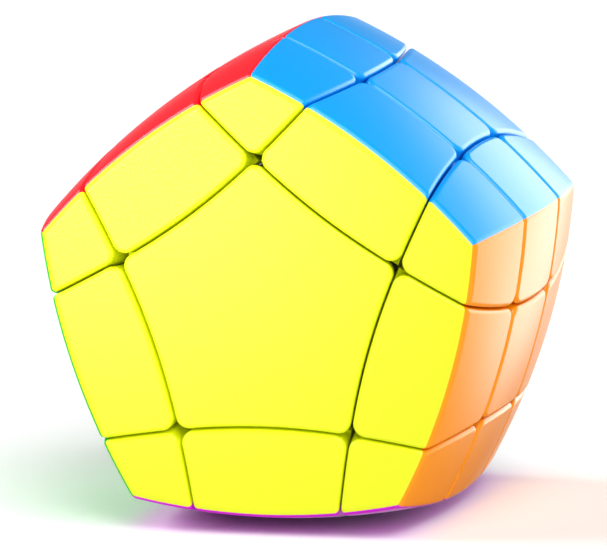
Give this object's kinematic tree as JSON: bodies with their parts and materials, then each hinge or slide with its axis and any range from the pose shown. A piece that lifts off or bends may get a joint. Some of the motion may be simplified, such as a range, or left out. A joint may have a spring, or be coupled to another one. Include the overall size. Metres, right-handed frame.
{
  "type": "pentagonal prism twisty puzzle",
  "caption": "Pillowed pentagonal prism twisty puzzle in solid colours, with seven layers that turn about a screwed and sprung core.",
  "frame": {"origin": "centre of the core, where all seven turning axes meet", "axes": "-Y out of the yellow pentagon face, +Y out of the white one, +Z towards the upright edge between the red and blue faces, +X to the right as seen facing the yellow face"},
  "size_m": [0.076, 0.051, 0.0749],
  "materials": {
    "yellow_plastic": "through-coloured moulded ABS with a fine frosted grain",
    "white_plastic": "through-coloured moulded ABS with a fine frosted grain",
    "blue_plastic": "through-coloured moulded ABS with a fine frosted grain",
    "orange_plastic": "through-coloured moulded ABS with a fine frosted grain",
    "purple_plastic": "through-coloured moulded ABS with a fine frosted grain",
    "green_plastic": "through-coloured moulded ABS with a fine frosted grain",
    "red_plastic": "through-coloured moulded ABS with a fine frosted grain",
    "corner_plastic": "three through-coloured moulded ABS parts, one for each face the corner shows",
    "black_plastic": "black moulded ABS, smooth running surfaces",
    "core_nylon": "natural moulded nylon, satin",
    "screw_steel": "zinc-plated steel",
    "spring_steel": "drawn spring wire"
  },
  "bodies": {
    "core_assembly": {"core": "core_nylon", "screws": "screw_steel", "washers": "screw_steel", "springs": "spring_steel"},
    "blue_centre": {"blue_centre_cap": "blue_plastic", "blue_centre_base": "black_plastic"},
    "orange_centre": {"orange_centre_cap": "orange_plastic", "orange_centre_base": "black_plastic"},
    "purple_centre": {"purple_centre_cap": "purple_plastic", "purple_centre_base": "black_plastic"},
    "green_centre": {"green_centre_cap": "green_plastic", "green_centre_base": "black_plastic"},
    "red_centre": {"red_centre_cap": "red_plastic", "red_centre_base": "black_plastic"},
    "yellow_centre": {"yellow_centre_cap": "yellow_plastic", "yellow_centre_base": "black_plastic"},
    "white_centre": {"white_centre_cap": "white_plastic", "white_centre_base": "black_plastic"},
    "blue_orange_edge": {"blue_orange_edge_blue_half": "blue_plastic", "blue_orange_edge_orange_half": "orange_plastic"},
    "orange_purple_edge": {"orange_purple_edge_orange_half": "orange_plastic", "orange_purple_edge_purple_half": "purple_plastic"},
    "purple_green_edge": {"purple_green_edge_purple_half": "purple_plastic", "purple_green_edge_green_half": "green_plastic"},
    "green_red_edge": {"green_red_edge_green_half": "green_plastic", "green_red_edge_red_half": "red_plastic"},
    "red_blue_edge": {"red_blue_edge_red_half": "red_plastic", "red_blue_edge_blue_half": "blue_plastic"},
    "yellow_blue_edge": {"yellow_blue_edge_yellow_half": "yellow_plastic", "yellow_blue_edge_blue_half": "blue_plastic"},
    "yellow_orange_edge": {"yellow_orange_edge_yellow_half": "yellow_plastic", "yellow_orange_edge_orange_half": "orange_plastic"},
    "yellow_purple_edge": {"yellow_purple_edge_yellow_half": "yellow_plastic", "yellow_purple_edge_purple_half": "purple_plastic"},
    "yellow_green_edge": {"yellow_green_edge_yellow_half": "yellow_plastic", "yellow_green_edge_green_half": "green_plastic"},
    "yellow_red_edge": {"yellow_red_edge_yellow_half": "yellow_plastic", "yellow_red_edge_red_half": "red_plastic"},
    "white_blue_edge": {"white_blue_edge_white_half": "white_plastic", "white_blue_edge_blue_half": "blue_plastic"},
    "white_orange_edge": {"white_orange_edge_white_half": "white_plastic", "white_orange_edge_orange_half": "orange_plastic"},
    "white_purple_edge": {"white_purple_edge_white_half": "white_plastic", "white_purple_edge_purple_half": "purple_plastic"},
    "white_green_edge": {"white_green_edge_white_half": "white_plastic", "white_green_edge_green_half": "green_plastic"},
    "white_red_edge": {"white_red_edge_white_half": "white_plastic", "white_red_edge_red_half": "red_plastic"},
    "yellow_blue_orange_corner": {"yellow_blue_orange_corner": "corner_plastic"},
    "yellow_orange_purple_corner": {"yellow_orange_purple_corner": "corner_plastic"},
    "yellow_purple_green_corner": {"yellow_purple_green_corner": "corner_plastic"},
    "yellow_green_red_corner": {"yellow_green_red_corner": "corner_plastic"},
    "yellow_red_blue_corner": {"yellow_red_blue_corner": "corner_plastic"},
    "white_blue_orange_corner": {"white_blue_orange_corner": "corner_plastic"},
    "white_orange_purple_corner": {"white_orange_purple_corner": "corner_plastic"},
    "white_purple_green_corner": {"white_purple_green_corner": "corner_plastic"},
    "white_green_red_corner": {"white_green_red_corner": "corner_plastic"},
    "white_red_blue_corner": {"white_red_blue_corner": "corner_plastic"}
  },
  "joints": [
    {"name": "yellow_layer_turn", "type": "hinge", "parent": "core_assembly", "child": "yellow_centre", "pos_m": [0, 0, 0], "axis": [0, -1, 0], "range_deg": [-144, 144]},
    {"name": "white_layer_turn", "type": "hinge", "parent": "core_assembly", "child": "white_centre", "pos_m": [0, 0, 0], "axis": [0, 1, 0], "range_deg": [-144, 144]},
    {"name": "blue_layer_turn", "type": "hinge", "parent": "core_assembly", "child": "blue_centre", "pos_m": [0, 0, 0], "axis": [0.5878, 0, 0.809], "range_deg": [0, 180]},
    {"name": "orange_layer_turn", "type": "hinge", "parent": "core_assembly", "child": "orange_centre", "pos_m": [0, 0, 0], "axis": [0.9511, 0, -0.309], "range_deg": [0, 180]},
    {"name": "purple_layer_turn", "type": "hinge", "parent": "core_assembly", "child": "purple_centre", "pos_m": [0, 0, 0], "axis": [0, 0, -1], "range_deg": [0, 180]},
    {"name": "green_layer_turn", "type": "hinge", "parent": "core_assembly", "child": "green_centre", "pos_m": [0, 0, 0], "axis": [-0.9511, 0, -0.309], "range_deg": [0, 180]},
    {"name": "red_layer_turn", "type": "hinge", "parent": "core_assembly", "child": "red_centre", "pos_m": [0, 0, 0], "axis": [-0.5878, 0, 0.809], "range_deg": [0, 180]},
    {"name": "blue_orange_edge_follow", "type": "hinge", "parent": "blue_centre", "child": "blue_orange_edge", "pos_m": [0, 0, 0], "axis": [0.9511, 0, -0.309], "range_deg": [0, 180]},
    {"name": "orange_purple_edge_follow", "type": "hinge", "parent": "orange_centre", "child": "orange_purple_edge", "pos_m": [0, 0, 0], "axis": [0, 0, -1], "range_deg": [0, 180]},
    {"name": "purple_green_edge_follow", "type": "hinge", "parent": "purple_centre", "child": "purple_green_edge", "pos_m": [0, 0, 0], "axis": [-0.9511, 0, -0.309], "range_deg": [0, 180]},
    {"name": "green_red_edge_follow", "type": "hinge", "parent": "green_centre", "child": "green_red_edge", "pos_m": [0, 0, 0], "axis": [-0.5878, 0, 0.809], "range_deg": [0, 180]},
    {"name": "red_blue_edge_follow", "type": "hinge", "parent": "red_centre", "child": "red_blue_edge", "pos_m": [0, 0, 0], "axis": [0.5878, 0, 0.809], "range_deg": [0, 180]},
    {"name": "yellow_blue_edge_follow", "type": "hinge", "parent": "blue_centre", "child": "yellow_blue_edge", "pos_m": [0, 0, 0], "axis": [0, -1, 0], "range_deg": [-144, 144]},
    {"name": "yellow_orange_edge_follow", "type": "hinge", "parent": "orange_centre", "child": "yellow_orange_edge", "pos_m": [0, 0, 0], "axis": [0, -1, 0], "range_deg": [-144, 144]},
    {"name": "yellow_purple_edge_follow", "type": "hinge", "parent": "purple_centre", "child": "yellow_purple_edge", "pos_m": [0, 0, 0], "axis": [0, -1, 0], "range_deg": [-144, 144]},
    {"name": "yellow_green_edge_follow", "type": "hinge", "parent": "green_centre", "child": "yellow_green_edge", "pos_m": [0, 0, 0], "axis": [0, -1, 0], "range_deg": [-144, 144]},
    {"name": "yellow_red_edge_follow", "type": "hinge", "parent": "red_centre", "child": "yellow_red_edge", "pos_m": [0, 0, 0], "axis": [0, -1, 0], "range_deg": [-144, 144]},
    {"name": "white_blue_edge_follow", "type": "hinge", "parent": "blue_centre", "child": "white_blue_edge", "pos_m": [0, 0, 0], "axis": [0, 1, 0], "range_deg": [-144, 144]},
    {"name": "white_orange_edge_follow", "type": "hinge", "parent": "orange_centre", "child": "white_orange_edge", "pos_m": [0, 0, 0], "axis": [0, 1, 0], "range_deg": [-144, 144]},
    {"name": "white_purple_edge_follow", "type": "hinge", "parent": "purple_centre", "child": "white_purple_edge", "pos_m": [0, 0, 0], "axis": [0, 1, 0], "range_deg": [-144, 144]},
    {"name": "white_green_edge_follow", "type": "hinge", "parent": "green_centre", "child": "white_green_edge", "pos_m": [0, 0, 0], "axis": [0, 1, 0], "range_deg": [-144, 144]},
    {"name": "white_red_edge_follow", "type": "hinge", "parent": "red_centre", "child": "white_red_edge", "pos_m": [0, 0, 0], "axis": [0, 1, 0], "range_deg": [-144, 144]},
    {"name": "yellow_blue_orange_corner_follow", "type": "hinge", "parent": "blue_orange_edge", "child": "yellow_blue_orange_corner", "pos_m": [0, 0, 0], "axis": [0, -1, 0], "range_deg": [-144, 144]},
    {"name": "yellow_orange_purple_corner_follow", "type": "hinge", "parent": "orange_purple_edge", "child": "yellow_orange_purple_corner", "pos_m": [0, 0, 0], "axis": [0, -1, 0], "range_deg": [-144, 144]},
    {"name": "yellow_purple_green_corner_follow", "type": "hinge", "parent": "purple_green_edge", "child": "yellow_purple_green_corner", "pos_m": [0, 0, 0], "axis": [0, -1, 0], "range_deg": [-144, 144]},
    {"name": "yellow_green_red_corner_follow", "type": "hinge", "parent": "green_red_edge", "child": "yellow_green_red_corner", "pos_m": [0, 0, 0], "axis": [0, -1, 0], "range_deg": [-144, 144]},
    {"name": "yellow_red_blue_corner_follow", "type": "hinge", "parent": "red_blue_edge", "child": "yellow_red_blue_corner", "pos_m": [0, 0, 0], "axis": [0, -1, 0], "range_deg": [-144, 144]},
    {"name": "white_blue_orange_corner_follow", "type": "hinge", "parent": "blue_orange_edge", "child": "white_blue_orange_corner", "pos_m": [0, 0, 0], "axis": [0, 1, 0], "range_deg": [-144, 144]},
    {"name": "white_orange_purple_corner_follow", "type": "hinge", "parent": "orange_purple_edge", "child": "white_orange_purple_corner", "pos_m": [0, 0, 0], "axis": [0, 1, 0], "range_deg": [-144, 144]},
    {"name": "white_purple_green_corner_follow", "type": "hinge", "parent": "purple_green_edge", "child": "white_purple_green_corner", "pos_m": [0, 0, 0], "axis": [0, 1, 0], "range_deg": [-144, 144]},
    {"name": "white_green_red_corner_follow", "type": "hinge", "parent": "green_red_edge", "child": "white_green_red_corner", "pos_m": [0, 0, 0], "axis": [0, 1, 0], "range_deg": [-144, 144]},
    {"name": "white_red_blue_corner_follow", "type": "hinge", "parent": "red_blue_edge", "child": "white_red_blue_corner", "pos_m": [0, 0, 0], "axis": [0, 1, 0], "range_deg": [-144, 144]}
  ],
  "couplings": [
    {"joint": "blue_orange_edge_follow", "follows": "orange_layer_turn", "ratio": 1},
    {"joint": "orange_purple_edge_follow", "follows": "purple_layer_turn", "ratio": 1},
    {"joint": "purple_green_edge_follow", "follows": "green_layer_turn", "ratio": 1},
    {"joint": "green_red_edge_follow", "follows": "red_layer_turn", "ratio": 1},
    {"joint": "red_blue_edge_follow", "follows": "blue_layer_turn", "ratio": 1},
    {"joint": "yellow_blue_edge_follow", "follows": "yellow_layer_turn", "ratio": 1},
    {"joint": "yellow_orange_edge_follow", "follows": "yellow_layer_turn", "ratio": 1},
    {"joint": "yellow_purple_edge_follow", "follows": "yellow_layer_turn", "ratio": 1},
    {"joint": "yellow_green_edge_follow", "follows": "yellow_layer_turn", "ratio": 1},
    {"joint": "yellow_red_edge_follow", "follows": "yellow_layer_turn", "ratio": 1},
    {"joint": "white_blue_edge_follow", "follows": "white_layer_turn", "ratio": 1},
    {"joint": "white_orange_edge_follow", "follows": "white_layer_turn", "ratio": 1},
    {"joint": "white_purple_edge_follow", "follows": "white_layer_turn", "ratio": 1},
    {"joint": "white_green_edge_follow", "follows": "white_layer_turn", "ratio": 1},
    {"joint": "white_red_edge_follow", "follows": "white_layer_turn", "ratio": 1},
    {"joint": "yellow_blue_orange_corner_follow", "follows": "yellow_layer_turn", "ratio": 1},
    {"joint": "yellow_orange_purple_corner_follow", "follows": "yellow_layer_turn", "ratio": 1},
    {"joint": "yellow_purple_green_corner_follow", "follows": "yellow_layer_turn", "ratio": 1},
    {"joint": "yellow_green_red_corner_follow", "follows": "yellow_layer_turn", "ratio": 1},
    {"joint": "yellow_red_blue_corner_follow", "follows": "yellow_layer_turn", "ratio": 1},
    {"joint": "white_blue_orange_corner_follow", "follows": "white_layer_turn", "ratio": 1},
    {"joint": "white_orange_purple_corner_follow", "follows": "white_layer_turn", "ratio": 1},
    {"joint": "white_purple_green_corner_follow", "follows": "white_layer_turn", "ratio": 1},
    {"joint": "white_green_red_corner_follow", "follows": "white_layer_turn", "ratio": 1},
    {"joint": "white_red_blue_corner_follow", "follows": "white_layer_turn", "ratio": 1}
  ]
}
